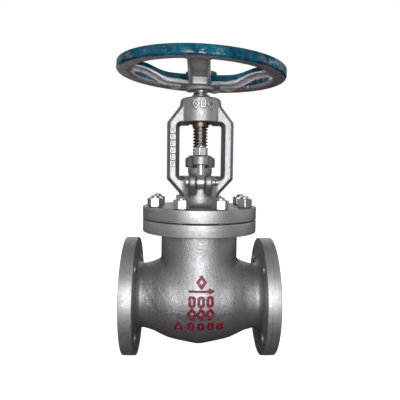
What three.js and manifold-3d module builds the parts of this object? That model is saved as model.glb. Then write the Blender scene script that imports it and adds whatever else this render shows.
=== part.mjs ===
// Flanged globe valve, NPS 3 (DN 80) Class 150, with an outside screw and yoke and a rising, turning stem.
// The origin is where the pipe axis meets the stem axis. +X is the flow direction and +Z runs up the stem.
import * as THREE from "three";
import { mergeVertices } from "three/addons/utils/BufferGeometryUtils.js";
import Module from "manifold-3d";

const wasm = await Module();
wasm.setup();

// Driving dimensions, in millimetres. Heights are above the pipe axis, with the valve closed.
const GAP = 0.3; // left between pieces that touch
const BORE = 38; // radius of the waterway and of the seat
const FACE_TO_FACE = 242.6;
const END_FLANGE = { radius: 95, thickness: 20.5, boltCircle: 76.2, holeRadius: 9.5, holes: 4 };
const RAISED_FACE = { radius: 63.5, height: 1.6 };
// The belly and the necks to the end flanges, as radii at distances along the pipe.
const BELLY = [[77, 0], [74.9, 15], [68.7, 44.5], [62.7, 60], [56.4, 73.5], [51.8, 90]];
const END_NECK = [[53.5, 96], [58, 99.2]];
const WALL = 11;
const NECK = { radius: 62, bore: 51, bottom: 20 };
const COVER_JOINT = { radius: 92, bodyBottom: 107.6, bodyTop: 127, bonnetBottom: 128.6, bonnetTop: 148.2 };
const COVER_STUDS = { circle: 76, count: 8, first: 22.5, radius: 6.9, bottom: 110, top: 167 };
const COVER_NUT = { flats: 22, height: 14 };
const GASKET = { inner: 52, outer: 66 };
const BRIDGE = { bottom: -6, top: 6 };
const PARTITION = { reach: 92, end: 43, flat: 48, skew: 8 }; // runs down from x = -reach to x = +reach
const SEAT = { sleeve: 42, radius: 46, top: 12 };
const DISC = { radius: 44, nose: 36.5, noseBottom: 8, rimTop: 24, hub: 26, hubTop: 44 };
const DISC_POCKET = { radius: 20, floor: 22 };
const DISC_NUT = { shoulder: 32, flats: 44, height: 8 };
const STEM = { radius: 12, minor: 9.25, pitch: 5, head: 16, threadBottom: 228, threadTop: 333.5, top: 382 };
const BACKSEAT = { radius: 15.5, bottom: 88.2, top: 96.7 };
const SPIGOT = { radius: 50.5, bottom: 122 };
const BACKSEAT_BUSH = { radius: 16.7, top: 140 };
const STUFFING_BOX = { radius: 29, bore: 19, floor: 154, top: 196 };
const PACKING = { rings: 5, height: 7.2 };
const GLAND_BUSH = { nose: 18.6, bottom: 192.1, shoulder: 19.5, shoulderBottom: 201, top: 209.7 };
const GLAND_FLANGE = { radius: 24, bottom: 210.5, top: 225.5, crown: 229.5 };
const GLAND_EAR = { radius: 11.5, bottom: 213.5, top: 228 };
const EYEBOLT = { offset: 41, radius: 6, eye: 11, thickness: 12, height: 187.5, top: 245 };
const EYEBOLT_NUT = { flats: 19, height: 12.5 };
const EYEBOLT_PIN = { radius: 5, head: 7.5, headLength: 4.5, tip: 26.7 };
const LUG = { inner: 6.8, outer: 18, bottom: 163, knee: 173, root: 20 };
const YOKE = { halfDepth: 16.5, draft: 5.5, window: 39, windowTop: 283, windowCorner: 8 };
// The yoke's outline at its front and back faces, as [x, z]. The draft widens it towards the middle.
const YOKE_OUTLINE = [[22, 160], [24, 166], [48.5, 193.5], [48.5, 281], [28.5, 307], [27.5, 315]];
const BOSS = { radius: 31, bottom: 282, top: 320.5 };
const YOKE_NUT = { sleeve: 14, tip: 12.9, bottom: 275, body: 18, bodyBottom: 286, screwHeight: 298 };
const YOKE_NUT_COLLAR = { radius: 14.4, top: 326 };
const RIM = { outer: 135, inner: 113.5, bottom: 354.9, top: 371 };
const HUB = { radius: 21, flange: 26, bottom: 333.8, step: 352, top: 362 };
const SPOKE = { count: 5, first: -94, width: 33, wall: 4, root: 29 }; // the channel underneath starts at root
const WHEEL_TILT = { degrees: 2.42, height: 348 }; // rim and spokes lean down towards +X, the hub does not
// The spoke's upper and lower edges, as heights at distances from the stem axis.
const SPOKE_TOP = [[16, 355.5], [48, 354.6], [61, 355.4], [72, 358], [84, 362.2], [94, 365], [118, 368.6]];
const SPOKE_BOTTOM = [[16, 339], [48, 339], [61, 340.5], [72, 345.6], [84, 351.2], [95, 354.5], [118, 356]];
const SQUARE = 17; // across the flats of the stem's drive square
const WHEEL_NUT = { thread: 8, flats: 24, height: 13, washerRadius: 15, washerHeight: 2.5 };

const STUD_HOLE = COVER_STUDS.radius + 0.7;
const RUNNING_BORE = STEM.radius + 0.35; // plain bores round the stem, and the yoke nut's major diameter
const FLANGE_BACK = FACE_TO_FACE / 2 - RAISED_FACE.height - END_FLANGE.thickness;

// Materials
const PAINT = { color: 0x8f9091, roughness: 0.45, metalness: 0.6 };
const WHEEL_PAINT = { color: 0x12495c, roughness: 0.35, metalness: 0.3 };
const STEEL = { color: 0x9a9b9d, roughness: 0.35, metalness: 0.9 };
const DARK_STEEL = { color: 0x5a4f49, roughness: 0.5, metalness: 0.8 };
const STAINLESS = { color: 0xc4c6c8, roughness: 0.25, metalness: 0.95 };
const BRONZE = { color: 0x8a6038, roughness: 0.4, metalness: 0.9 };
const GRAPHITE = { color: 0x2a2b2d, roughness: 0.8, metalness: 0.0 };

// Solids and shapes

// Makes a closed three.js geometry a manifold-3d solid, with its faces pointing out.
function solidOf(geometry) {
  const bare = geometry.index ? geometry.toNonIndexed() : geometry.clone();
  bare.deleteAttribute("normal");
  bare.deleteAttribute("uv");
  const merged = mergeVertices(bare, 1e-3);
  const triangles = Uint32Array.from(merged.index.array);
  const made = () =>
    new wasm.Manifold(
      new wasm.Mesh({ numProp: 3, vertProperties: merged.attributes.position.array, triVerts: triangles }),
    );
  const solid = made();
  if (solid.volume() > 0) return solid;
  for (let i = 0; i < triangles.length; i += 3) {
    [triangles[i + 1], triangles[i + 2]] = [triangles[i + 2], triangles[i + 1]];
  }
  return made();
}

function geometryOf(solid) {
  const mesh = solid.getMesh();
  const geometry = new THREE.BufferGeometry();
  geometry.setAttribute("position", new THREE.BufferAttribute(mesh.vertProperties, 3));
  geometry.setIndex(new THREE.BufferAttribute(mesh.triVerts, 1));
  const flat = geometry.toNonIndexed();
  flat.computeVertexNormals();
  return flat;
}

// A turned solid about the stem axis. The profile is [radius, height] pairs that start and end on the axis,
// or come back to where they began.
function turned(profile, segments = 32) {
  const points = profile.map(([r, z]) => new THREE.Vector2(r, z));
  return solidOf(new THREE.LatheGeometry(points, segments).rotateX(Math.PI / 2));
}

// The same, about the pipe axis.
function turnedAlongPipe(profile, segments = 48) {
  const points = profile.map(([r, x]) => new THREE.Vector2(r, x));
  return solidOf(new THREE.LatheGeometry(points, segments).rotateZ(-Math.PI / 2));
}

const rod = (radius, bottom, top, segments) =>
  turned([[0, bottom], [radius, bottom], [radius, top], [0, top]], segments);

const ring = (inner, outer, bottom, top, segments) =>
  turned([[inner, bottom], [outer, bottom], [outer, top], [inner, top], [inner, bottom]], segments);

function rodAlongX(radius, from, to, y, z, segments = 20) {
  const geometry = new THREE.CylinderGeometry(radius, radius, to - from, segments).rotateZ(Math.PI / 2);
  return solidOf(geometry.translate((from + to) / 2, y, z));
}

function rodAlongY(radius, from, to, x, z, segments = 16) {
  const geometry = new THREE.CylinderGeometry(radius, radius, to - from, segments);
  return solidOf(geometry.translate(x, (from + to) / 2, z));
}

function block(x0, x1, y0, y1, z0, z1) {
  const geometry = new THREE.BoxGeometry(x1 - x0, y1 - y0, z1 - z0);
  return solidOf(geometry.translate((x0 + x1) / 2, (y0 + y1) / 2, (z0 + z1) / 2));
}

// A prism with flat sides about the stem axis.
function prism(sides, acrossFlats, bottom, top) {
  const radius = acrossFlats / 2 / Math.cos(Math.PI / sides);
  const geometry = new THREE.CylinderGeometry(radius, radius, top - bottom, sides).rotateX(Math.PI / 2);
  return solidOf(geometry.rotateZ(Math.PI / sides).translate(0, 0, (bottom + top) / 2));
}

// A shape drawn in X and Z, extruded through the thickness along Y and centred on y = 0.
function plateAcrossY(shape, thickness, options = {}) {
  const geometry = new THREE.ExtrudeGeometry(shape, { depth: thickness, bevelEnabled: false, ...options });
  geometry.rotateX(Math.PI / 2);
  geometry.computeBoundingBox();
  const { min, max } = geometry.boundingBox;
  return solidOf(geometry.translate(0, -(min.y + max.y) / 2, 0));
}

// A shape drawn in Y and Z, extruded along X.
function plateAcrossX(shape, from, to) {
  const options = { depth: to - from, bevelEnabled: false, curveSegments: 10 };
  const geometry = new THREE.ExtrudeGeometry(shape, options);
  return solidOf(geometry.rotateX(Math.PI / 2).rotateZ(Math.PI / 2).translate(from, 0, 0));
}

// Calls make(angle, number) for each of count places round a circle.
function around(count, startDegrees, make) {
  const start = THREE.MathUtils.degToRad(startDegrees);
  return Array.from({ length: count }, (_, i) => make(start + (i * 2 * Math.PI) / count, i + 1));
}

const joined = (solids) => solids.reduce((whole, piece) => whole.add(piece));
const moved = (solid, x, y, z = 0) => solid.translate([x, y, z]);
const onCircle = (solid, radius, angle) => moved(solid, radius * Math.cos(angle), radius * Math.sin(angle));

// A hexagon nut with both ends chamfered.
function hexNut(flats, bottom, height, bore, boreSides = 12) {
  const corner = flats / Math.sqrt(3);
  const chamfer = 1.6;
  const top = bottom + height;
  const lower = [[0, bottom], [flats / 2, bottom], [corner, bottom + chamfer]];
  const upper = [[corner, top - chamfer], [flats / 2, top], [0, top]];
  const blank = turned([...lower, ...upper], 12);
  return prism(6, flats, bottom, top).intersect(blank).subtract(rod(bore, bottom - 1, top + 1, boreSides));
}

// A right-hand trapezoidal thread. Each column of points climbs one step along the helix, and the last column
// meets the first one pitch higher.
function threadedRod(major, minor, pitch, bottom, top) {
  const steps = 8;
  const form = [[minor, 0.0], [minor, 0.32], [major, 0.5], [major, 0.82]]; // radius, place in the pitch
  const turns = Math.ceil((top - bottom) / pitch) + 3;
  const rows = turns * form.length;
  const points = [];
  for (let column = 0; column < steps; column++) {
    const angle = (column / steps) * 2 * Math.PI;
    for (let row = 0; row <= rows; row++) {
      const [radius, place] = form[row % form.length];
      const height = bottom + pitch * (Math.floor(row / form.length) - 2 + place + column / steps);
      points.push(radius * Math.cos(angle), radius * Math.sin(angle), height);
    }
  }
  const at = (column, row) => column * (rows + 1) + row;
  const triangles = [];
  const quad = (a, b, c, d) => triangles.push(a, b, c, a, c, d);
  for (let column = 0; column < steps - 1; column++) {
    for (let row = 0; row < rows; row++) {
      quad(at(column, row), at(column + 1, row), at(column + 1, row + 1), at(column, row + 1));
    }
  }
  const last = steps - 1;
  for (let row = 0; row < rows - form.length; row++) {
    const next = row + form.length;
    quad(at(last, row), at(0, next), at(0, next + 1), at(last, row + 1));
  }
  // Each end closes with a fan from the axis to the open edge of the helix.
  const columns = Array.from({ length: steps }, (_, i) => i);
  const turnRows = Array.from({ length: form.length + 1 }, (_, i) => i);
  const lowEdge = [
    ...columns.map((c) => at(c, 0)),
    ...turnRows.toReversed().map((r) => at(0, r)).slice(0, -1),
  ];
  const highEdge = [
    ...columns.map((c) => at(c, rows)).toReversed(),
    ...turnRows.map((r) => at(last, rows - form.length + r)).slice(0, -1),
  ];
  const close = (edge, height) => {
    const centre = points.push(0, 0, height) / 3 - 1;
    edge.forEach((point, i) => triangles.push(centre, edge[(i + 1) % edge.length], point));
  };
  close(lowEdge, bottom - 3 * pitch);
  close(highEdge, bottom + (turns + 1) * pitch);
  const geometry = new THREE.BufferGeometry();
  geometry.setAttribute("position", new THREE.Float32BufferAttribute(points, 3));
  geometry.setIndex(triangles);
  return solidOf(geometry).intersect(rod(major + 1, bottom, top, 8));
}

// Pressure shell

// A profile that starts at the stem axis, with its mirror image before it.
const mirroredProfile = (half) => [...half.slice(1).toReversed().map(([r, x]) => [r, -x]), ...half];

// The belly's smooth outline from the stem axis out, moved in by a thickness, with a last point of its own.
function bellyOutline(inset, end) {
  const marks = mirroredProfile([...BELLY.slice(0, -1).map(([r, x]) => [r - inset, x]), end]);
  const curve = new THREE.SplineCurve(marks.map(([r, x]) => new THREE.Vector2(r, x)));
  const steps = 6;
  return curve.getPoints(2 * steps).slice(steps).map((point) => [point.x, point.y]);
}

function bodyShell() {
  const end = FACE_TO_FACE / 2;
  const half = [
    ...bellyOutline(0, BELLY.at(-1)),
    ...END_NECK,
    [END_FLANGE.radius, FLANGE_BACK],
    [END_FLANGE.radius, FLANGE_BACK + END_FLANGE.thickness],
    [RAISED_FACE.radius, FLANGE_BACK + END_FLANGE.thickness],
    [RAISED_FACE.radius, end],
    [0, end],
  ];
  const pipe = turnedAlongPipe(mirroredProfile(half), 36);
  const neck = rod(NECK.radius, 0, COVER_JOINT.bodyTop - 1, 30);
  const flange = rod(COVER_JOINT.radius, COVER_JOINT.bodyBottom, COVER_JOINT.bodyTop, 40);
  return pipe.add(neck).add(flange);
}

function bodyHollow() {
  const half = bellyOutline(WALL, [BORE, 88]);
  const open = FACE_TO_FACE / 2 + 1;
  const waterway = turnedAlongPipe(mirroredProfile([...half, [BORE, open], [0, open]]), 24);
  return waterway.add(rod(NECK.bore, NECK.bottom, COVER_JOINT.bodyTop + 1, 24));
}

// The wall between inlet and outlet: down from the roof of the inlet, level under the seat, and down again to
// the floor of the outlet.
function partition() {
  const half = WALL / 2;
  const { reach, end, flat, skew } = PARTITION;
  const turn = 66; // where the wall is steepest
  const shape = new THREE.Shape();
  shape.moveTo(-reach, end + half + 1);
  shape.bezierCurveTo(-turn, end + half - 3, skew / 2 - turn, half, -flat, BRIDGE.top);
  shape.lineTo(flat + skew, BRIDGE.top);
  shape.bezierCurveTo(turn, -half, turn + skew / 2, half + 5 - end, reach, half + 1 - end);
  shape.lineTo(reach, -end - half - 1);
  shape.bezierCurveTo(turn, 3 - end - half, turn - skew / 2, -half, flat, BRIDGE.bottom);
  shape.lineTo(-flat - skew, BRIDGE.bottom);
  shape.bezierCurveTo(-turn, half, -turn - skew / 2, end - 5 - half, -reach, end - 1 - half);
  shape.closePath();
  const tip = reach - 4;
  const skin = bellyOutline(WALL / 2, [BORE + WALL / 2, tip]);
  const envelope = turnedAlongPipe(mirroredProfile([...skin, [0, tip]]), 24);
  return plateAcrossY(shape, 2 * END_FLANGE.radius, { curveSegments: 4 }).intersect(envelope);
}

function body() {
  const seatHole = rod(SEAT.sleeve + GAP, BRIDGE.bottom - 4, BRIDGE.top + 4, 28);
  const { circle, radius, bottom } = COVER_STUDS;
  const studHoles = around(COVER_STUDS.count, COVER_STUDS.first, (angle) =>
    onCircle(rod(radius + GAP, bottom - GAP, COVER_JOINT.bodyTop + 1, 12), circle, angle),
  );
  const boltHoles = around(END_FLANGE.holes, 45, (angle) => {
    const y = END_FLANGE.boltCircle * Math.cos(angle);
    const z = END_FLANGE.boltCircle * Math.sin(angle);
    const end = FACE_TO_FACE / 2;
    const outlet = rodAlongX(END_FLANGE.holeRadius, FLANGE_BACK - 4, end, y, z, 16);
    return outlet.add(outlet.mirror([1, 0, 0]));
  });
  const casting = bodyShell().subtract(bodyHollow()).add(partition()).subtract(seatHole);
  return casting.subtract(joined(studHoles)).subtract(joined(boltHoles));
}

// Bonnet, stuffing box and yoke, one casting

function yokeFrame() {
  const outline = [...YOKE_OUTLINE, ...YOKE_OUTLINE.toReversed().map(([x, z]) => [-x, z])];
  const shape = new THREE.Shape(outline.map(([x, z]) => new THREE.Vector2(x, z)));
  const { window: half, windowTop: high, windowCorner: corner } = YOKE;
  const low = STUFFING_BOX.top;
  const hole = new THREE.Path();
  hole.moveTo(half - corner, low);
  hole.lineTo(corner - half, low);
  hole.absarc(corner - half, low + corner, corner, -Math.PI / 2, Math.PI, true);
  hole.lineTo(-half, high - corner);
  hole.absarc(corner - half, high - corner, corner, Math.PI, Math.PI / 2, true);
  hole.lineTo(half - corner, high);
  hole.absarc(half - corner, high - corner, corner, Math.PI / 2, 0, true);
  hole.lineTo(half, low + corner);
  hole.absarc(half - corner, low + corner, corner, 0, -Math.PI / 2, true);
  shape.holes.push(hole);
  // The bevel gives the arms their six-sided, drafted section.
  const bevel = { bevelThickness: YOKE.halfDepth - 0.5, bevelSize: YOKE.draft, bevelSegments: 1 };
  const frame = plateAcrossY(shape, 1, { ...bevel, bevelEnabled: true, curveSegments: 4 });
  const ridge = half - YOKE.draft;
  return frame.subtract(block(-ridge, ridge, -20, 20, low, low + corner));
}

function lugs() {
  const shape = new THREE.Shape();
  shape.moveTo(LUG.root, LUG.bottom);
  shape.lineTo(EYEBOLT.offset - 4, LUG.knee);
  shape.absarc(EYEBOLT.offset, EYEBOLT.height, EYEBOLT.eye, -Math.PI / 2.6, Math.PI / 2, false);
  shape.lineTo(LUG.root, STUFFING_BOX.top - 1);
  shape.closePath();
  const ear = plateAcrossX(shape, LUG.inner, LUG.outer);
  const pair = ear.add(ear.mirror([1, 0, 0]));
  const four = pair.add(pair.mirror([0, 1, 0]));
  const reach = LUG.outer + 1;
  const pinHoles = [1, -1].map((side) =>
    rodAlongX(EYEBOLT_PIN.radius + GAP, -reach, reach, side * EYEBOLT.offset, EYEBOLT.height),
  );
  return four.subtract(joined(pinHoles));
}

function bonnet() {
  const { radius, bonnetBottom, bonnetTop } = COVER_JOINT;
  const cover = turned(
    [
      [0, SPIGOT.bottom],
      [SPIGOT.radius, SPIGOT.bottom],
      [SPIGOT.radius, bonnetBottom],
      [radius, bonnetBottom],
      [radius, bonnetTop],
      [45, bonnetTop],
      [37, bonnetTop + 2.5],
      [31.5, bonnetTop + 8],
      [STUFFING_BOX.radius, bonnetTop + 16],
      [STUFFING_BOX.radius, STUFFING_BOX.top],
      [0, STUFFING_BOX.top],
    ],
    40,
  );
  const boss = turned(
    [
      [0, BOSS.bottom],
      [BOSS.radius, BOSS.bottom],
      [BOSS.radius, BOSS.top - 3],
      [BOSS.radius - 1, BOSS.top - 1],
      [BOSS.radius - 3, BOSS.top],
      [0, BOSS.top],
    ],
    24,
  );
  const dish = turned([[24, 120], [46, 120], [42, 133], [28, 133], [24, 120]], 24);
  const stemWay = turned(
    [
      [0, 120],
      [BACKSEAT_BUSH.radius + GAP, 120],
      [BACKSEAT_BUSH.radius + GAP, BACKSEAT_BUSH.top + GAP],
      [14, BACKSEAT_BUSH.top + GAP],
      [14, STUFFING_BOX.floor],
      [STUFFING_BOX.bore, STUFFING_BOX.floor],
      [STUFFING_BOX.bore, STUFFING_BOX.top + 1],
      [0, STUFFING_BOX.top + 1],
    ],
    20,
  );
  const nutWay = turned(
    [
      [0, BOSS.bottom - 8],
      [YOKE_NUT.sleeve + GAP, BOSS.bottom - 8],
      [YOKE_NUT.sleeve + GAP, YOKE_NUT.bodyBottom - GAP],
      [YOKE_NUT.body + GAP, YOKE_NUT.bodyBottom - GAP],
      [YOKE_NUT.body + GAP, BOSS.top + 1],
      [0, BOSS.top + 1],
    ],
    20,
  );
  const studHoles = around(COVER_STUDS.count, COVER_STUDS.first, (angle) =>
    onCircle(rod(STUD_HOLE, bonnetBottom - 1, bonnetTop + 1, 8), COVER_STUDS.circle, angle),
  );
  const screwHole = rodAlongY(4 + GAP, YOKE_NUT.body - 1, BOSS.radius + 2, 0, YOKE_NUT.screwHeight);
  const casting = cover.add(yokeFrame()).add(boss).add(lugs());
  return casting.subtract(joined([dish, stemWay, nutWay, screwHole, ...studHoles]));
}

// Bonnet fasteners and sealing

function coverStud(angle) {
  const { radius, bottom, top, circle } = COVER_STUDS;
  const end = radius - 1;
  const profile = [[0, bottom], [end, bottom], [radius, bottom + 1], [radius, top - 1], [end, top], [0, top]];
  return onCircle(turned(profile, 8), circle, angle);
}

function coverNut(angle) {
  const { radius, circle } = COVER_STUDS;
  const nut = hexNut(COVER_NUT.flats, COVER_JOINT.bonnetTop + GAP, COVER_NUT.height, radius + GAP);
  return onCircle(nut.rotate([0, 0, THREE.MathUtils.radToDeg(angle)]), circle, angle);
}

const gasket = () =>
  ring(GASKET.inner, GASKET.outer, COVER_JOINT.bodyTop + GAP, COVER_JOINT.bonnetBottom - GAP, 28);

const backseatBush = () => ring(RUNNING_BORE, BACKSEAT_BUSH.radius, SPIGOT.bottom, BACKSEAT_BUSH.top, 16);

// A packing ring, numbered from the stuffing box floor up.
function packingRing(number) {
  const bottom = STUFFING_BOX.floor + GAP + (number - 1) * (PACKING.height + GAP);
  return ring(RUNNING_BORE, STUFFING_BOX.bore - GAP, bottom, bottom + PACKING.height, 16);
}

// Trim

function seatRing() {
  const profile = [
    [BORE, BRIDGE.bottom],
    [SEAT.sleeve, BRIDGE.bottom],
    [SEAT.sleeve, BRIDGE.top + GAP],
    [SEAT.radius, BRIDGE.top + GAP],
    [SEAT.radius, SEAT.top],
    [BORE, SEAT.top],
    [BORE, BRIDGE.bottom],
  ];
  return turned(profile, 24);
}

function disc() {
  const seat = SEAT.top + GAP;
  return turned(
    [
      [0, DISC.noseBottom],
      [DISC.nose, DISC.noseBottom],
      [DISC.nose, seat],
      [DISC.radius, seat],
      [DISC.radius, DISC.rimTop],
      [DISC.hub, DISC.rimTop + 6],
      [DISC.hub, DISC.hubTop],
      [DISC_POCKET.radius, DISC.hubTop],
      [DISC_POCKET.radius, DISC_POCKET.floor],
      [0, DISC_POCKET.floor],
    ],
    24,
  );
}

// Screws into the disc's pocket over the stem's head, so that the stem lifts the disc and turns in it.
function discNut() {
  const { shoulder, flats, height } = DISC_NUT;
  const sleeve = ring(RUNNING_BORE, DISC_POCKET.radius - GAP, shoulder, DISC.hubTop + GAP, 20);
  return sleeve.add(hexNut(flats, DISC.hubTop + GAP, height, RUNNING_BORE, 20));
}

function stem() {
  const { radius, head, threadBottom, threadTop, top } = STEM;
  const core = STEM.minor - 1;
  const headBottom = DISC_POCKET.floor + GAP;
  const headTop = DISC_NUT.shoulder - GAP;
  const shaft = turned(
    [
      [0, headBottom],
      [head, headBottom],
      [head, headTop],
      [radius, headTop],
      [radius, BACKSEAT.bottom - 3.5],
      [BACKSEAT.radius, BACKSEAT.bottom],
      [BACKSEAT.radius, BACKSEAT.top - 3],
      [radius, BACKSEAT.top],
      [radius, threadBottom],
      [core, threadBottom + 2],
      [core, threadTop - 3],
      [radius, threadTop - 2],
      [radius, threadTop],
      [0, threadTop],
    ],
    20,
  );
  const thread = threadedRod(radius, STEM.minor, STEM.pitch, threadBottom + 1, threadTop - 2.5);
  const square = prism(4, SQUARE, threadTop - 1, HUB.top - 2);
  const tip = WHEEL_NUT.thread;
  const root = HUB.top - 4;
  const end = turned([[0, root], [tip, root], [tip, top - 1.5], [tip - 1.5, top], [0, top]], 16);
  return shaft.add(thread).add(square).add(end);
}

// Gland

function eyebolt(side) {
  const y = side * EYEBOLT.offset;
  const { radius, eye, thickness, height, top } = EYEBOLT;
  const loop = rodAlongX(eye, -thickness / 2, thickness / 2, y, height, 24);
  const shank = turned([[0, height], [radius, height], [radius, top - 1], [radius - 1, top], [0, top]], 16);
  const hole = rodAlongX(EYEBOLT_PIN.radius + GAP, -thickness, thickness, y, height);
  return loop.add(moved(shank, 0, y)).subtract(hole);
}

function eyeboltPin(side) {
  const y = side * EYEBOLT.offset;
  const { radius, head, headLength, tip } = EYEBOLT_PIN;
  const under = -LUG.outer - GAP;
  const shank = rodAlongX(radius, under, tip, y, EYEBOLT.height, 16);
  const splitPinHole = rodAlongY(1.3, y - 8, y + 8, tip - 4, EYEBOLT.height, 8);
  const cap = rodAlongX(head, under - headLength, under + 0.1, y, EYEBOLT.height, 16);
  return shank.subtract(splitPinHole).add(cap);
}

function eyeboltNut(side) {
  const nut = hexNut(EYEBOLT_NUT.flats, GLAND_EAR.top + GAP, EYEBOLT_NUT.height, EYEBOLT.radius + GAP);
  return moved(nut, 0, side * EYEBOLT.offset);
}

function glandBush() {
  const { nose, bottom, shoulder, shoulderBottom, top } = GLAND_BUSH;
  const bore = STEM.radius + 0.6;
  const outside = [[nose, bottom], [nose, shoulderBottom], [shoulder, shoulderBottom], [shoulder, top]];
  return turned([[bore, bottom], ...outside, [bore, top], [bore, bottom]], 16);
}

function glandFlange() {
  const { radius, bottom, top, crown } = GLAND_FLANGE;
  const { radius: end, bottom: earBottom, top: earTop } = GLAND_EAR;
  const outside = [[radius - 1.5, bottom], [radius, bottom + 1.5], [radius, top - 1], [radius - 2, top]];
  const centre = turned([[0, bottom], ...outside, [14, crown], [0, crown]], 20);
  const shape = new THREE.Shape();
  shape.absarc(0, EYEBOLT.offset, end, 0, Math.PI, false);
  shape.lineTo(-end - 1.5, 0);
  shape.absarc(0, -EYEBOLT.offset, end, Math.PI, 2 * Math.PI, false);
  shape.lineTo(end + 1.5, 0);
  shape.closePath();
  const options = { depth: earTop - earBottom, bevelEnabled: false, curveSegments: 6 };
  const bar = new THREE.ExtrudeGeometry(shape, options);
  const ears = solidOf(bar.translate(0, 0, earBottom));
  const bore = (size, y, segments) => moved(rod(size + 0.9, bottom - 1, crown + 1, segments), 0, y);
  const boltHoles = [1, -1].map((side) => bore(EYEBOLT.radius, side * EYEBOLT.offset, 16));
  return centre.add(ears).subtract(joined([bore(STEM.radius, 0, 24), ...boltHoles]));
}

// Yoke nut. Its bore is plain, at the thread's major radius, so that the stem's thread runs clear in it.
function yokeNut() {
  const { sleeve, tip, bottom, body: outer, bodyBottom } = YOKE_NUT;
  return turned(
    [
      [RUNNING_BORE, bottom],
      [tip, bottom],
      [sleeve, bottom + 6],
      [sleeve, bodyBottom],
      [outer, bodyBottom],
      [outer, BOSS.top],
      [YOKE_NUT_COLLAR.radius, BOSS.top],
      [YOKE_NUT_COLLAR.radius, YOKE_NUT_COLLAR.top],
      [RUNNING_BORE, YOKE_NUT_COLLAR.top],
      [RUNNING_BORE, bottom],
    ],
    16,
  );
}

// Grub screw that stops the yoke nut turning in the boss.
const yokeNutScrew = () =>
  rodAlongY(4, YOKE_NUT.body + GAP, BOSS.radius - 0.5, 0, YOKE_NUT.screwHeight, 16).subtract(
    block(-4.5, 4.5, BOSS.radius - 2.5, BOSS.radius, YOKE_NUT.screwHeight - 0.7, YOKE_NUT.screwHeight + 0.7),
  );

// Handwheel

// One spoke along +X: an upside-down channel that climbs from the hub to the rim.
function spoke() {
  const vectors = (edge) => edge.map(([r, z]) => new THREE.Vector2(r, z));
  const side = (top, bottom) => {
    const edge = [...new THREE.SplineCurve(vectors(top)).getPoints(10)];
    return new THREE.Shape([...edge, ...new THREE.SplineCurve(vectors(bottom)).getPoints(10).toReversed()]);
  };
  const { width, wall, root } = SPOKE;
  const lowered = (edge, drop) => edge.map(([r, z]) => [r, z - drop]);
  const channel = plateAcrossY(side(lowered(SPOKE_TOP, wall), lowered(SPOKE_BOTTOM, 20)), width - 2 * wall);
  const outside = block(0, root, -width, width, 0, RIM.top);
  return plateAcrossY(side(SPOKE_TOP, SPOKE_BOTTOM), width).subtract(channel.subtract(outside));
}

function handwheel() {
  const { outer, inner, bottom, top } = RIM;
  const outside = [[outer - 2, bottom], [outer, bottom + 2], [outer, top - 5], [outer - 1.5, top - 1.5]];
  const inside = [[outer - 5, top], [inner + 5, top], [inner + 1.5, top - 1.5], [inner, top - 5]];
  const rim = turned([[inner, bottom], ...outside, ...inside, [inner, bottom]], 48);
  const { radius, flange, step } = HUB;
  const low = HUB.bottom;
  const high = HUB.top;
  const barrel = [[0, low], [radius, low], [radius, step]];
  const hub = turned([...barrel, [flange, step], [flange, high], [0, high]], 24);
  const spokes = around(SPOKE.count, SPOKE.first, (angle) =>
    spoke().rotate([0, 0, THREE.MathUtils.radToDeg(angle)]),
  );
  const { degrees, height } = WHEEL_TILT;
  const tilted = moved(moved(joined([rim, ...spokes]), 0, 0, -height).rotate([0, degrees, 0]), 0, 0, height);
  return hub.add(tilted).subtract(prism(4, SQUARE + 2 * GAP, low - 1, high + 1));
}

function wheelWasher() {
  const { thread, washerRadius, washerHeight } = WHEEL_NUT;
  const bottom = HUB.top + GAP;
  return ring(thread + 0.5, washerRadius, bottom, bottom + washerHeight, 16);
}

function wheelNut() {
  const { thread, flats, height, washerHeight } = WHEEL_NUT;
  return hexNut(flats, HUB.top + washerHeight + 2 * GAP, height, thread + GAP);
}

// Assembly

const valve = new THREE.Group();

function add(name, solid, finish) {
  const mesh = new THREE.Mesh(geometryOf(solid), new THREE.MeshStandardMaterial(finish));
  mesh.name = name;
  valve.add(mesh);
}

add("body", body(), PAINT);
add("seat_ring", seatRing(), STAINLESS);
add("bonnet_gasket", gasket(), GRAPHITE);
add("bonnet", bonnet(), PAINT);
around(COVER_STUDS.count, COVER_STUDS.first, (angle, number) => {
  add(`bonnet_stud_${number}`, coverStud(angle), STEEL);
  add(`bonnet_nut_${number}`, coverNut(angle), STEEL);
});
add("backseat_bush", backseatBush(), STAINLESS);
for (let number = 1; number <= PACKING.rings; number++) {
  add(`packing_ring_${number}`, packingRing(number), GRAPHITE);
}
[["front", -1], ["back", 1]].forEach(([place, side]) => {
  add(`eyebolt_${place}`, eyebolt(side), STEEL);
  add(`eyebolt_pin_${place}`, eyeboltPin(side), STEEL);
  add(`eyebolt_nut_${place}`, eyeboltNut(side), STEEL);
});
add("gland_bush", glandBush(), STAINLESS);
add("gland_flange", glandFlange(), PAINT);
add("yoke_nut", yokeNut(), BRONZE);
add("yoke_nut_screw", yokeNutScrew(), DARK_STEEL);
add("disc", disc(), STAINLESS);
add("disc_nut", discNut(), STAINLESS);
add("stem", stem(), DARK_STEEL);
add("handwheel", handwheel(), WHEEL_PAINT);
add("wheel_washer", wheelWasher(), STEEL);
add("wheel_nut", wheelNut(), STEEL);

export default valve;
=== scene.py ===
import math

import bmesh
import bpy
import numpy as np
from mathutils import Matrix, Vector


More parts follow.
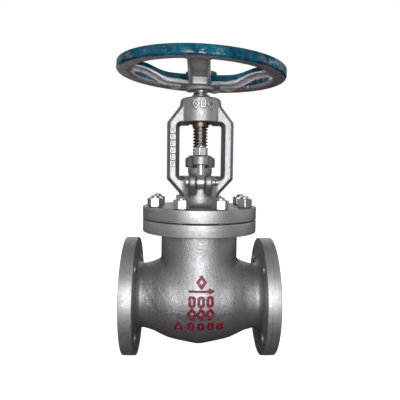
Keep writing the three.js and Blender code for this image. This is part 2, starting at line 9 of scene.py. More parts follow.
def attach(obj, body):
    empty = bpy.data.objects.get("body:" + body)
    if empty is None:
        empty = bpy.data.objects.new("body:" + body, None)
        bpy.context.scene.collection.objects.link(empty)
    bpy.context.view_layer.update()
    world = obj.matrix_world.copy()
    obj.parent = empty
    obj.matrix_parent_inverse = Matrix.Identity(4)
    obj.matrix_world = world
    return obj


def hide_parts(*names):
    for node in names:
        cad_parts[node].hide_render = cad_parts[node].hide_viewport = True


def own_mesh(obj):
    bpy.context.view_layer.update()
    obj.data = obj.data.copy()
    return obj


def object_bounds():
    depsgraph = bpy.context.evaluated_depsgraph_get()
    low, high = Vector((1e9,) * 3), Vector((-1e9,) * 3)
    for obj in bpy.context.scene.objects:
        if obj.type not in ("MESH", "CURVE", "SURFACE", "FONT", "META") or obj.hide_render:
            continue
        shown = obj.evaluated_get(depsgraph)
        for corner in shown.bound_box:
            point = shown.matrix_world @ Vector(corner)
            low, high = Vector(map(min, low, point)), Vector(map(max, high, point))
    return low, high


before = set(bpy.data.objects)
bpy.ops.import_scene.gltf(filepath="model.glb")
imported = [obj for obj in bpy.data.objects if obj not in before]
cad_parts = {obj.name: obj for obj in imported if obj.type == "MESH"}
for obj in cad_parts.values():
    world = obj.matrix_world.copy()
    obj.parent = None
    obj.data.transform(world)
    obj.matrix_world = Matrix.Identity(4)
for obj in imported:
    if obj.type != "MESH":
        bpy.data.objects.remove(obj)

CAD_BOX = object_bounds()
MM = 0.001

# Sizes in millimetres, as in the CAD. Heights are above the pipe axis.
FACE = 121.3  # from the stem axis to each raised face
FLANGE_BACK = 99.2
FLANGE_FRONT = 119.7
FLANGE_RADIUS = 95.0
RAISED_RADIUS = 63.5
BORE = 38.0
BOLT_OFFSET = 76.2 * math.sqrt(0.5)
NECK_RADIUS = 62.0
COVER_RADIUS = 92.0  # of the two flanges between body and bonnet
STUD_COUNT = 8
STUD_RING = 76.0
ARM_DEPTH = 16.5  # from the middle plane to the front of the yoke's arms
BOSS_RADIUS, BOSS_BOTTOM, BOSS_TOP = 31.0, 282.0, 320.5
EYEBOLT_OFFSET = 41.0
PIN_HEIGHT = 187.5
EYE_RADIUS = 11.0
SCREW_HEIGHT = 298.0  # of the grub screw in the back of the boss
PACKING_BOTTOM, PACKING_PITCH, PACKING_COUNT = 154.3, 7.5, 5
STEM_RADIUS, STEM_PITCH = 12.0, 5.0
GUIDE_RADIUS = 12.35  # of the bores that the stem runs in
SPOKE_COUNT = 5
SPOKE_HALF_WIDTH = 16.5
RIM_RADIUS, RIM_HEIGHT = 124.25, 362.95  # the middle of the rim's section
BELLY = [(0, 77), (15, 74.9), (44.5, 68.7), (60, 62.7), (73.5, 56.4), (90, 51.8), (98, 52), (125, 52)]
WATERWAY = [(0, 66), (15, 63.9), (44.5, 57.7), (60, 51.7), (73.5, 45.4), (88, 38.2), (98, 38.2), (125, 38.2)]
WHEEL_PHASE = math.radians(-94)
WHEEL_TILT = math.radians(2.42)  # the rim and spokes lean down towards +X, about a point on the stem axis
TILT_HEIGHT = 348.0
SPOKE_TOP = [(0, 355.5), (48, 354.6), (61, 355.4), (72, 358), (84, 362.2), (94, 365), (118, 367.8), (130, 368)]
SPOKE_BOTTOM = [(0, 339), (48, 339), (61, 340.5), (72, 345.6), (84, 351.2), (95, 354.5), (118, 356.6), (130, 357)]
STUD_ANGLES = [math.radians(360 * (i + 0.5) / STUD_COUNT) for i in range(STUD_COUNT)]


# Distance fields. Each takes arrays of coordinates in millimetres and gives the distance to a surface,
# negative inside.

def union(a, b, fillet):
    """a and b together, with a fillet where they meet."""
    h = np.clip(0.5 + 0.5 * (b - a) / fillet, 0, 1)
    return b + (a - b) * h - fillet * h * (1 - h)


def overlap(a, b, rounding):
    """What a and b share, with the edge rounded over."""
    return -union(-a, -b, rounding)


def puck(across, radius, height, low, high, low_edge=1, high_edge=1):
    """A disc between two heights, its edges rounded over. across is the distance from its axis."""
    return overlap(overlap(across - radius, low - height, low_edge), height - high, high_edge)


def polygon(points, u, v):
    """Distance to a closed outline in a plane."""
    nearest, outside = np.inf, 1.0
    previous = points[-1]
    for here in points:
        ex, ey = previous[0] - here[0], previous[1] - here[1]
        wx, wy = u - here[0], v - here[1]
        t = np.clip((wx * ex + wy * ey) / (ex * ex + ey * ey), 0, 1)
        nearest = np.minimum(nearest, (wx - ex * t) ** 2 + (wy - ey * t) ** 2)
        tests = (v >= here[1], v < previous[1], ex * wy > ey * wx)
        crossed = (tests[0] & tests[1] & tests[2]) | ~(tests[0] | tests[1] | tests[2])
        outside = np.where(crossed, -outside, outside)
        previous = here
    return outside * np.sqrt(nearest)


def smooth_table(points):
    """A smooth curve through points with rising first values, as arrays of x, value and slope."""
    p = np.array([(2 * points[0][0] - points[1][0], points[1][1]), *points, points[-1]], float)
    t = np.linspace(0, 1, 16, endpoint=False)[:, None]
    parts = []
    for a, b, c, d in zip(p, p[1:], p[2:], p[3:]):
        squared, cubed = 2 * a - 5 * b + 4 * c - d, 3 * (b - c) + d - a
        parts.append(0.5 * (2 * b + (c - a) * t + squared * t**2 + cubed * t**3))
    curve = np.concatenate(parts + [p[-1:]])
    return curve[:, 0], curve[:, 1], np.gradient(curve[:, 1]) / np.maximum(np.gradient(curve[:, 0]), 1e-6)


def along(table, x):
    """The curve's value at x, and its slope there."""
    return np.interp(x, table[0], table[1]), np.interp(x, table[0], table[2])


def rounded_rectangle(u, v, half_u, half_v, radius):
    a, b = np.abs(u) - half_u + radius, np.abs(v) - half_v + radius
    return np.hypot(np.maximum(a, 0), np.maximum(b, 0)) + np.minimum(np.maximum(a, b), 0) - radius


BELLY_TABLE = smooth_table(BELLY)
WATERWAY_TABLE = smooth_table(WATERWAY)


def belly(x, y, z):
    radius, slope = along(BELLY_TABLE, np.abs(x))
    return (np.hypot(y, z) - radius) / np.sqrt(1 + slope**2)


def belly_and_neck(x, y, z):
    """The two blend widely at the front and back and tightly over the pipe."""
    tight, wide, width = 4, 20, 56
    fillet = tight + wide * np.clip(1 - (x / width) ** 2, 0, 1)
    return union(belly(x, y, z), np.maximum(np.hypot(x, y) - NECK_RADIUS, -z), fillet)


def body_shell(x, y, z):
    """The outside. Its flanges stay a little inside the turned ones that cover them."""
    end = puck(np.hypot(y, z), FLANGE_RADIUS - 1.4, np.abs(x), FLANGE_BACK + 0.5, FLANGE_FRONT - 1.1)
    top = puck(np.hypot(x, y), COVER_RADIUS - 1.6, z, 108.1, 125.5)
    return union(union(belly_and_neck(x, y, z), end, 13), top, 4)


def body_casting(x, y, z):
    across = np.hypot(x, y)
    shell = body_shell(x, y, z)
    radius, slope = along(WATERWAY_TABLE, np.abs(x))
    waterway = (np.hypot(y, z) - radius) / np.sqrt(1 + slope**2)
    hollow = union(waterway, np.maximum(across - 51, 20 - z), 6)
    wall = overlap(shell, -hollow, 1)
    # The partition runs down from the inlet's roof to the outlet's floor, level under the seat.
    level_half, run, drop, half_thickness = 48, 44, 43, 5.8
    rise = np.clip((np.abs(x) - level_half) / run, 0, 1)
    level = -np.sign(x) * drop * rise * rise * (3 - 2 * rise)
    steep = drop * 6 * rise * (1 - rise) / run
    plate = np.abs(z - level) / np.sqrt(1 + steep**2) - half_thickness
    plate = np.maximum(np.maximum(plate, shell + 4), np.abs(x) - 88)
    wall = union(wall, plate, 7)
    seat_hole = np.maximum(across - 42.1, np.abs(z) - 12)
    wall = overlap(wall, -seat_hole, 0.8)
    bolts = np.hypot(np.abs(y) - BOLT_OFFSET, np.abs(z) - BOLT_OFFSET) - 10.2
    return np.maximum(wall, -np.maximum(bolts, 97 - np.abs(x)))


YOKE_OUTSIDE = [(22, 160), (24, 166), (48.5, 193.5), (48.5, 281), (28.5, 307), (27.5, 315)]
YOKE_OUTSIDE = YOKE_OUTSIDE + [(-x, z) for x, z in reversed(YOKE_OUTSIDE)]
LUG_ROUND = [
    (EYEBOLT_OFFSET + EYE_RADIUS * math.cos(a), PIN_HEIGHT + EYE_RADIUS * math.sin(a))
    for a in np.linspace(-1.2, 1.57, 12)
]
LUG_OUTSIDE = [(18, 163), (37, 172), *LUG_ROUND, (18, 196)]


def yoke_boss(across, z):
    return puck(across, BOSS_RADIUS, z, BOSS_BOTTOM, BOSS_TOP, 2, 3)


def bonnet_casting(x, y, z):
    across = np.hypot(x, y)
    cover = overlap(across - 57, np.maximum(130 - z, z - 147.7), 1)
    box = overlap(across - 29, np.maximum(140 - z, z - 196), 1.6)
    cover = union(cover, box, 12)
    # Arms of six-sided section, widest on the middle plane.
    window = rounded_rectangle(x, z - 236.5, 39, 46.5, 9)
    outline = np.maximum(polygon(YOKE_OUTSIDE, x, z), -window)
    draft = 5.5 * (1 - np.abs(y) / ARM_DEPTH)
    arms = overlap((outline - draft) * 0.95, np.abs(y) - ARM_DEPTH, 1.2)
    gland_room = np.maximum(np.abs(x) - 33.5, np.abs(z - 202) - 6)
    arms = np.maximum(arms, -gland_room)
    casting = union(union(cover, arms, 6), yoke_boss(across, z), 2)
    lug = overlap(polygon(LUG_OUTSIDE, np.abs(y), z), np.abs(np.abs(x) - 12.4) - 5.6, 4)
    casting = union(casting, lug, 4)
    stuffing_box = np.maximum(across - 19, 154 - z)
    stem_way = np.maximum(across - 14, 120 - z)
    nut_way = np.maximum(across - 18.1, 285.8 - z)
    screw = np.maximum(np.hypot(x, z - SCREW_HEIGHT) - 4.1, 15 - y)
    open_ways = np.minimum(np.minimum(stuffing_box, nut_way), np.minimum(stem_way, screw))
    casting = overlap(casting, -open_ways, 0.8)
    pins = np.hypot(np.abs(y) - EYEBOLT_OFFSET, z - PIN_HEIGHT) - 5.2
    return overlap(casting, -np.maximum(pins, np.abs(x) - 19), 0.6)


SPOKE_TOP_TABLE = smooth_table(SPOKE_TOP)
SPOKE_BOTTOM_TABLE = smooth_table(SPOKE_BOTTOM)


def spoke_place(x, y):
    """How far out along the nearest spoke a point is, and how far to the side."""
    radius = np.hypot(x, y)
    angle = np.arctan2(y, x) - WHEEL_PHASE
    step = 2 * math.pi / SPOKE_COUNT
    angle = (angle + step / 2) % step - step / 2
    return radius * np.cos(angle), radius * np.sin(angle)


def in_wheel(x, z):
    """x and z in the leaning wheel's own frame."""
    c, s = math.cos(WHEEL_TILT), math.sin(WHEEL_TILT)
    return x * c - (z - TILT_HEIGHT) * s, TILT_HEIGHT + x * s + (z - TILT_HEIGHT) * c


def handwheel_field(x, y, z):
    across = np.hypot(x, y)
    hub = union(puck(across, 21, z, 333.8, 353, 2, 1), puck(across, 26, z, 352, 362, 2, 2), 3)
    square_hole = np.maximum(np.maximum(np.abs(x), np.abs(y)) - 8.8, 330 - z)
    x, z = in_wheel(x, z)
    radius = np.hypot(x, y)
    out, side = spoke_place(x, y)
    top, top_slope = along(SPOKE_TOP_TABLE, out)
    bottom, bottom_slope = along(SPOKE_BOTTOM_TABLE, out)
    over = (z - top) / np.sqrt(1 + top_slope**2)
    under = (bottom - z) / np.sqrt(1 + bottom_slope**2)
    arm = overlap(overlap(over, under, 1.5), np.abs(side) - SPOKE_HALF_WIDTH, 3)
    channel = overlap(overlap(over + 4, np.abs(side) - SPOKE_HALF_WIDTH + 4.2, 2), 29 - out, 2)
    arm = np.maximum(overlap(arm, -channel, 1.5), radius - 119)
    arm = np.maximum(arm, 12 - out)
    rim = rounded_rectangle(radius - RIM_RADIUS, z - RIM_HEIGHT, 10.75, 8.05, 4.2)
    wheel = union(union(arm, hub, 5), rim, 5)
    return overlap(wheel, -square_hole, 0.8)


def gland_field(x, y, z):
    across = np.hypot(x, y)
    centre = puck(across, 24, z, 210.5, 226.5, 2.5, 4)
    crown = overlap(across - 19, np.maximum(212 - z, z - 229.5), 3)
    centre = union(centre, crown, 4)
    half_width = 13 - 1.5 * np.clip(np.abs(y) / EYEBOLT_OFFSET, 0, 1)
    from_bolt = np.hypot(x, np.abs(y) - EYEBOLT_OFFSET)
    ears = np.maximum(np.abs(x) - half_width, np.abs(y) - EYEBOLT_OFFSET)
    ears = overlap(np.minimum(ears, from_bolt - 11.5), np.abs(z - 220.75) - 7.25, 2.5)
    holes = np.minimum(across - 12.9, from_bolt - 6.9)
    return overlap(union(centre, ears, 5), -holes, 0.8)


def eyebolt_field(x, y, z):
    """An eyebolt's eye and lower shank, on the axis y = 0."""
    from_pin = np.hypot(y, z - PIN_HEIGHT)
    eye = overlap(from_pin - EYE_RADIUS, np.abs(x) - 6, 2)
    shank = np.maximum(np.hypot(x, y) - 5.8, np.maximum(188 - z, z - 222))
    return overlap(union(eye, shank, 4), 5.3 - from_pin, 0.8)


# Generic cast marks, in x and z on the front: hollow lozenges, rounded squares, a triangle and an arrow.

def stroke(distance, width):
    return np.abs(distance) - width / 2


def lozenge(x, z, at, half_width, half_height):
    u, v = np.abs(x - at[0]) / half_width, np.abs(z - at[1]) / half_height
    return (u + v - 1) * half_width * half_height / math.hypot(half_width, half_height)


def belly_marks_outline(x, z):
    x = x - 1.5
    shapes = [stroke(lozenge(x, z, (1, 38.5), 5.6, 7.4), 4.2)]
    shapes.append(np.maximum(np.abs(x - 0.5) - 19, np.abs(z - 25.5) - 1.5))
    shapes.append(polygon([(12, 30), (21.5, 25.5), (12, 21)], x, z))
    for at in (-13, 0.5, 14):
        shapes.append(stroke(rounded_rectangle(x - at, z - 10.5, 3.4, 6.2, 2), 4.3))
        shapes.append(stroke(lozenge(x, z, (at, -8), 5.6, 7.6), 4.3))
    shapes.append(stroke(polygon([(-39, -34), (-27, -34), (-33, -23)], x, z), 3.4))
    for at in (-14, 0.5, 15, 29):
        shapes.append(stroke(rounded_rectangle(x - at, z + 28.5, 3.2, 5.2, 2), 4.0))
    distance = shapes[0]
    for shape in shapes[1:]:
        distance = np.minimum(distance, shape)
    return distance


def belly_marks(x, y, z):
    skin = belly_and_neck(x, y, z)
    return overlap(belly_marks_outline(x, z), np.maximum(skin - 2.0, -1.6 - skin), 1.2)


def boss_marks(x, y, z, spread=0.0, proud=2.2):
    shapes = [stroke(lozenge(x, z, (at, 309), 5.0, 7.0), 2.3) for at in (-8.5, 15.5)]
    shapes.append(stroke(rounded_rectangle(x - 3.5, z - 309, 3.4, 5.2, 2.5), 2.3))
    outline = np.minimum(np.minimum(shapes[0], shapes[1]), shapes[2]) - spread
    skin = yoke_boss(np.hypot(x, y), z)
    return overlap(outline, np.maximum(skin - proud, -1.2 - skin), 0.6)


def arm_marks(x, y, z, spread=0.0, proud=1.5):
    outline = np.inf
    for at in (216, 226.5, 237, 248, 258.5, 269):
        outline = np.minimum(outline, stroke(rounded_rectangle(x + 43.9, z - at, 3.2, 3.6, 1), 1.6))
    return overlap(outline - spread, np.maximum(-y - ARM_DEPTH - proud, y + ARM_DEPTH - 1), 0.5)


# Dark skirts just wider than the raised marks and barely proud: painted shadow round their edges.
def boss_marks_shadow(x, y, z):
    return boss_marks(x, y, z, 0.8, 0.5)


def arm_marks_shadow(x, y, z):
    return arm_marks(x, y, z, 0.7, 0.4)


# Meshes. Each is points in millimetres and faces as lists of point numbers, and a sculpted one also has
# how hollow it is at each point, from 0 to 1.

def surface_net(field, low, high, step):
    """The surface where a field is zero, as one point in each cell that it crosses."""
    axes = [np.arange(a, b + step, step) for a, b in zip(low, high)]
    grid = np.meshgrid(*axes, indexing="ij", sparse=True)
    value = np.broadcast_to(field(*grid), [len(a) for a in axes]).astype(np.float32)
    cells = np.array(value.shape) - 1
    size = int(cells.prod())
    total, count, faces = np.zeros((3, size)), np.zeros(size), []
    for axis in range(3):
        lower, upper = [slice(None)] * 3, [slice(None)] * 3
        lower[axis], upper[axis] = slice(None, -1), slice(1, None)
        a, b = value[tuple(lower)], value[tuple(upper)]
        edge = np.argwhere((a < 0) != (b < 0))
        start, end = a[tuple(edge.T)], b[tuple(edge.T)]
        spot = edge.astype(float)
        spot[:, axis] += start / (start - end)
        corners, whole = [], np.ones(len(edge), bool)
        for du, dv in ((0, 0), (1, 0), (1, 1), (0, 1)):
            cell = edge.copy()
            cell[:, (axis + 1) % 3] -= du
            cell[:, (axis + 2) % 3] -= dv
            fits = ((cell >= 0) & (cell < cells)).all(1)
            number = np.ravel_multi_index(np.clip(cell, 0, cells - 1).T, cells)
            count += np.bincount(number[fits], minlength=size)
            for k in range(3):
                total[k] += np.bincount(number[fits], spot[fits, k], size)
            corners.append(number)
            whole &= fits
        quads = np.stack(corners, 1)
        quads[start > 0] = quads[start > 0, ::-1]
        faces.append(quads[whole])
    used = np.flatnonzero(count)
    number = np.full(size, -1)
    number[used] = np.arange(len(used))
    points = (total[:, used] / count[used]).T * step + np.array(low)
    return points, number[np.concatenate(faces)]


def slopes(field, points, reach=0.05):
    columns = []
    for axis in range(3):
        offset = np.zeros(3)
        offset[axis] = reach
        columns.append(field(*(points + offset).T) - field(*(points - offset).T))
    return np.stack(columns, 1) / (2 * reach)


def sculpted(field, low, high, step, rounds=4):
    """A field's surface, its points evened out and moved on to it, and how hollow it is at each of them."""
    points, faces = surface_net(field, low, high, step)
    ends = np.concatenate([faces, np.roll(faces, -1, 1)], 1).reshape(len(faces), 2, 4)
    a, b = ends[:, 0].ravel(), ends[:, 1].ravel()
    neighbours = np.bincount(a, minlength=len(points)) + np.bincount(b, minlength=len(points))
    for turn in range(rounds):
        slope = slopes(field, points)
        squared = np.maximum((slope**2).sum(1), 0.2)
        if turn < rounds - 1:
            total = [
                np.bincount(a, points[b, k], len(points)) + np.bincount(b, points[a, k], len(points))
                for k in range(3)
            ]
            pull = np.stack(total, 1) / neighbours[:, None] - points
            pull -= slope * ((pull * slope).sum(1) / squared)[:, None]
            points = points + 0.5 * pull
        move = np.clip(field(*points.T) / squared, -0.5 * step, 0.5 * step)
        points = points - move[:, None] * slope
    slope = slopes(field, points)
    normal = slope / np.maximum(np.linalg.norm(slope, axis=1), 1e-6)[:, None]
    # How hollow each point is, which the paints use for painted shade and extra roughness.
    reach = 4.0
    hollow = np.clip(1.05 - field(*(points + reach * normal).T) / reach, 0, 1)
    return points, faces, hollow


def eased(points, radius, steps=4, closed=False):
    """A profile with its corners rounded. A point may carry a radius of its own as a third number."""
    count = len(points)
    result = []
    for i, corner in enumerate(points):
        here = np.array(corner[:2], float)
        own = corner[2] if len(corner) > 2 else radius
        if own == 0 or (not closed and i in (0, count - 1)):
            result.append(tuple(here))
            continue
        before = np.array(points[i - 1][:2], float) - here
        after = np.array(points[(i + 1) % count][:2], float) - here
        cut = min(own, 0.45 * np.linalg.norm(before), 0.45 * np.linalg.norm(after))
        p, q = here + before / np.linalg.norm(before) * cut, here + after / np.linalg.norm(after) * cut
        for t in np.linspace(0, 1, steps + 1):
            result.append(tuple((1 - t) ** 2 * p + 2 * t * (1 - t) * here + t**2 * q))
    return result


def lathe(profile, segments=96, closed=False, shape=None):
    """Turns [radius, height] points about Z. shape(angle, radius, height) may change the radius."""
    angles = np.arange(segments) * 2 * math.pi / segments
    radius, height = np.array(profile, float).T
    r = np.repeat(radius[None], segments, 0)
    z = np.repeat(height[None], segments, 0)
    if shape:
        r, z = shape(angles[:, None], r, z)
    points = np.stack([r * np.cos(angles)[:, None], r * np.sin(angles)[:, None], z], 2).reshape(-1, 3)
    rows = len(profile)
    i = np.arange(segments)[:, None] * rows
    j = (np.arange(segments)[:, None] + 1) % segments * rows
    k = np.arange(rows if closed else rows - 1)
    after = (k + 1) % rows
    faces = np.stack([i + k, j + k, j + after, i + after], 2).reshape(-1, 4)
    return points, faces


def ring(profile, easing, segments):
    """A closed profile with eased corners, turned about Z."""
    return lathe(eased(profile, easing, closed=True), segments, closed=True)


def band(inner, outer, low, high):
    return [(inner, low), (outer, low), (outer, high), (inner, high)]


def hexagon(flats, low, high, bore):
    """A hexagon nut. Each end is turned to a cone that cuts the corners."""
    apothem = flats / 2
    chamfer = apothem * 0.93
    lean = math.tan(math.radians(30))
    corner = apothem / math.cos(math.pi / 6) - 0.35

    def shape(angle, radius, height):
        off = (angle + math.pi / 6) % (math.pi / 3) - math.pi / 6
        face = np.minimum(apothem / np.cos(off), corner)
        r = np.where(radius > apothem, face, radius)
        drop = np.where(radius > apothem, (face - chamfer) * lean, 0)
        return r, np.where(height > (low + high) / 2, height - drop, height + drop)

    profile = [
        (bore, low + 0.9), (bore + 0.9, low), (chamfer, low), (apothem + 1, low), (apothem + 1, high),
        (chamfer, high), (bore + 0.9, high), (bore, high - 0.9),
    ]
    return lathe(profile, 120, closed=True, shape=shape)


def thread(major, minor, pitch, low, high, columns=48, crest=0.36, root=0.3, tip=0.0):
    """A right-hand thread. Its rows follow the helix. A tip above 0 is the length of the cone at the upper end."""
    flank = (1 - crest - root) / 2
    form = [(0, minor), (root, minor), (root + flank, major), (root + flank + crest, major)]
    turns = int((high - low) / pitch) + 3
    steps = [(turn - 1 + place, radius) for turn in range(turns) for place, radius in form]
    rise = np.array([s[0] for s in steps]) * pitch
    radius = np.array([s[1] for s in steps])
    turned = np.arange(columns + 1) / columns
    z = np.clip(low + rise[None] + turned[:, None] * pitch, low, high)
    r = np.repeat(radius[None], columns + 1, 0)
    if tip:
        r = np.minimum(r, major - np.maximum(z - high + tip, 0))
    angle = turned[:, None] * 2 * math.pi
    points = np.stack([r * np.cos(angle), r * np.sin(angle), z], 2).reshape(-1, 3)
    rows = len(steps)
    i = np.arange(columns)[:, None] * rows + np.arange(rows - 1)[None]
    return points, np.stack([i, i + rows, i + rows + 1, i + 1], 2).reshape(-1, 4)


def moved(mesh, x=0.0, y=0.0, z=0.0, turn=0.0, along_x=False):
    """A copy of a mesh turned about Z, then laid along X if asked, then moved."""
    points = mesh[0]
    c, s = math.cos(turn), math.sin(turn)
    points = points @ np.array([[c, s, 0], [-s, c, 0], [0, 0, 1]])
    if along_x:
        points = points[:, [2, 0, 1]]
    return (points + np.array([x, y, z]), *mesh[1:])


def mirrored(mesh):
    """The mesh turned half round about Z, which swaps inlet and outlet."""
    return (mesh[0] * np.array([-1, -1, 1]), *mesh[1:])


def tube(path, radius, sides=12):
    """A round wire along a path."""
    path = np.array(path, float)
    ahead = np.gradient(path, axis=0)
    ahead /= np.linalg.norm(ahead, axis=1)[:, None]
    across = np.cross(ahead, [0.31, 0.2, 0.93])
    across /= np.linalg.norm(across, axis=1)[:, None]
    other = np.cross(ahead, across)
    angle = np.arange(sides) * 2 * math.pi / sides
    circle = across[:, None] * np.cos(angle)[None, :, None] + other[:, None] * np.sin(angle)[None, :, None]
    points = np.concatenate([(path[:, None] + radius * circle).reshape(-1, 3), path[:1], path[-1:]])
    i = np.arange(len(path) - 1)[:, None] * sides
    k, after = np.arange(sides)[None], (np.arange(sides)[None] + 1) % sides
    faces = np.stack([i + k, i + after, i + sides + after, i + sides + k], 2).reshape(-1, 4).tolist()
    last = (len(path) - 1) * sides
    for k in range(sides):
        faces.append([len(points) - 2, (k + 1) % sides, k])
        faces.append([len(points) - 1, last + k, last + (k + 1) % sides])
    return points, faces


# Pieces

def make(name, body, parts, materials, stands_for, sharp=38):
    """Builds a piece from meshes, each given with the number of its material. An edge over sharp degrees shows."""
    points, faces, kinds, hollow = [], [], [], []
    count = 0
    for mesh, kind in parts:
        points.append(mesh[0])
        faces.extend((np.array(face) + count).tolist() for face in mesh[1])
        kinds.extend([kind] * len(mesh[1]))
        hollow.append(mesh[2] if len(mesh) > 2 else np.zeros(len(mesh[0])))
        count += len(mesh[0])
    data = bpy.data.meshes.new(name)
    data.from_pydata((np.concatenate(points) * MM).tolist(), [], faces)
    data.polygons.foreach_set("material_index", kinds)
    data.attributes.new("hollow", "FLOAT", "POINT").data.foreach_set("value", np.concatenate(hollow))
    data.shade_smooth()
    data.set_sharp_from_angle(angle=math.radians(sharp))
    data.validate()
    for material in materials:
        data.materials.append(material)
    piece = bpy.data.objects.new(name, data)
    bpy.context.scene.collection.objects.link(piece)
    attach(piece, body)
    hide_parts(*stands_for)
    return piece


def single(name, body, mesh, material, node, sharp=38):
    """A piece of one mesh and one material, in place of one CAD node or a share of it."""
    return make(name, body, [(mesh, 0)], [material], [node], sharp)


def drilled(mesh, cutters):
    """A mesh with closed meshes cut out of it."""
    def temporary(parts):
        data = bpy.data.meshes.new("cut")
        points = np.concatenate([part[0] for part in parts])
        offsets = np.cumsum([0] + [len(part[0]) for part in parts])
        faces = [(np.array(face) + offset).tolist() for part, offset in zip(parts, offsets) for face in part[1]]
        data.from_pydata(points.tolist(), [], faces)
        welded = bmesh.new()
        welded.from_mesh(data)
        bmesh.ops.remove_doubles(welded, verts=welded.verts, dist=1e-4)
        welded.to_mesh(data)
        welded.free()
        holder = bpy.data.objects.new("cut", data)
        bpy.context.scene.collection.objects.link(holder)
        return holder

    whole, tool = temporary([mesh]), temporary(cutters)
    boolean = whole.modifiers.new("holes", "BOOLEAN")
    boolean.operation, boolean.solver, boolean.object = "DIFFERENCE", "MANIFOLD", tool
    graph = bpy.context.evaluated_depsgraph_get()
    result = whole.evaluated_get(graph).to_mesh()
    points = np.array([v.co for v in result.vertices])
    faces = [list(face.vertices) for face in result.polygons]
    for holder in (whole, tool):
        data = holder.data
        bpy.data.objects.remove(holder)
        bpy.data.meshes.remove(data)
    return points, faces


class Shader:
    """A node material. Values may be sockets or plain numbers."""

    def __init__(self, name):
        self.material = bpy.data.materials.new(name)
        self.material.use_nodes = True
        self.tree = self.material.node_tree
        self.surface = self.tree.nodes["Principled BSDF"]
        self.place = self.new("ShaderNodeTexCoord").outputs["Object"]

    def new(self, kind, **settings):
        node = self.tree.nodes.new(kind)
        for key, value in settings.items():
            setattr(node, key, value)
        return node

    def put(self, value, socket):
        if isinstance(value, bpy.types.NodeSocket):
            self.tree.links.new(value, socket)
        else:
            socket.default_value = value

    def set(self, **values):
        for key, value in values.items():
            self.put(value, self.surface.inputs[key.replace("_", " ")])
        return self.material

    def stretched(self, x, y, z):
        node = self.new("ShaderNodeMapping")
        self.put(self.place, node.inputs["Vector"])
        node.inputs["Scale"].default_value = (x, y, z)
        return node.outputs[0]

    def noise(self, scale, detail=3.0, roughness=0.55, place=None):
        node = self.new("ShaderNodeTexNoise")
        self.put(place or self.place, node.inputs["Vector"])
        node.inputs["Scale"].default_value = scale
        node.inputs["Detail"].default_value = detail
        node.inputs["Roughness"].default_value = roughness
        return node.outputs["Fac"]

    def cells(self, scale):
        node = self.new("ShaderNodeTexVoronoi")
        self.put(self.place, node.inputs["Vector"])
        node.inputs["Scale"].default_value = scale
        return node.outputs["Distance"]

    def range(self, value, low, high, to_low=0.0, to_high=1.0):
        node = self.new("ShaderNodeMapRange", interpolation_type="SMOOTHSTEP")
        for socket, number in zip(node.inputs, (value, low, high, to_low, to_high)):
            self.put(number, socket)
        return node.outputs[0]

    def math(self, operation, a, b=0.0):
        node = self.new("ShaderNodeMath", operation=operation)
        self.put(a, node.inputs[0])
        self.put(b, node.inputs[1])
        return node.outputs[0]

    def mix(self, factor, a, b):
        node = self.new("ShaderNodeMix", data_type="RGBA")
        self.put(factor, node.inputs["Factor"])
        self.put(a if isinstance(a, bpy.types.NodeSocket) else (*a, 1), node.inputs["A"])
        self.put(b if isinstance(b, bpy.types.NodeSocket) else (*b, 1), node.inputs["B"])
        return node.outputs["Result"]

    def attribute(self, name):
        return self.new("ShaderNodeAttribute", attribute_name=name).outputs["Fac"]

    def axis(self, number):
        node = self.new("ShaderNodeSeparateXYZ")
        self.put(self.place, node.inputs[0])
        return node.outputs[number]

    def bumps(self, *layers):
        """Each layer is a height and how deep it is, in millimetres."""
        normal = None
        for height, depth in layers:
            node = self.new("ShaderNodeBump")
            node.inputs["Distance"].default_value = depth * MM
            self.put(height, node.inputs["Height"])
            if normal:
                self.put(normal, node.inputs["Normal"])
            normal = node.outputs[0]
        return normal


# A paint of metal flakes, which keeps less of its shine at a glancing angle than bare metal does.
FLAKES = 0.88
DULL_EDGE = (0.35, 0.35, 0.36, 1)


def cast_paint():
    """Aluminium paint over a sand-cast surface, with painted shade darkening its hollows."""
    s = Shader("cast_paint")
    grain = s.noise(480, 5, 0.7)
    lumps = s.noise(230, 3)
    pits = s.cells(260)
    patches = s.noise(17, 5, 0.6)
    hollow = s.math("MULTIPLY", s.attribute("hollow"), s.range(s.noise(90, 3), 0.2, 0.7, 0.6, 1.0))
    base = s.mix(s.range(patches, 0.3, 0.7), (0.33, 0.33, 0.34), (0.38, 0.38, 0.385))
    base = s.mix(s.range(grain, 0.58, 0.76, 0.0, 0.5), base, (0.66, 0.66, 0.66))
    base = s.mix(s.range(grain, 0.44, 0.26, 0.0, 0.6), base, (0.12, 0.12, 0.123))
    # Painted shade: the colour darkens towards near black where the surface is hollow.
    base = s.mix(s.math("MULTIPLY", hollow, 0.75), base, (0.075, 0.073, 0.075))
    rough = s.math("ADD", s.range(s.noise(300, 4), 0.3, 0.7, 0.38, 0.52), s.math("MULTIPLY", hollow, 0.15))
    bump = s.bumps((lumps, 0.36), (grain, 0.5), (s.range(pits, 0.0, 0.25), 0.12))
    return s.set(Base_Color=base, Metallic=FLAKES, Roughness=rough, Normal=bump, Specular_Tint=DULL_EDGE)


def turned_paint(name, across):
    """The same paint over turned flanges, with fine lines round them, which step along the axis across."""
    s = Shader(name)
    scale = [6.0, 6.0, 6.0]
    scale[across] = 1500.0
    lines = s.noise(1, 2, 0.5, s.stretched(*scale))
    scale[across] = 420.0
    bands = s.noise(1, 2, 0.5, s.stretched(*scale))
    grain = s.noise(700, 4, 0.6)
    patches = s.noise(22, 4, 0.6)
    base = s.mix(s.range(patches, 0.3, 0.7), (0.33, 0.33, 0.335), (0.43, 0.43, 0.43))
    base = s.mix(s.range(bands, 0.45, 0.3, 0.0, 0.45), base, (0.17, 0.17, 0.172))
    rough = s.range(s.noise(240, 4), 0.3, 0.7, 0.44, 0.56)
    bump = s.bumps((s.noise(40, 2), 0.25), (bands, 0.14), (lines, 0.08), (grain, 0.16))
    return s.set(Base_Color=base, Metallic=FLAKES, Roughness=rough, Normal=bump, Specular_Tint=DULL_EDGE)


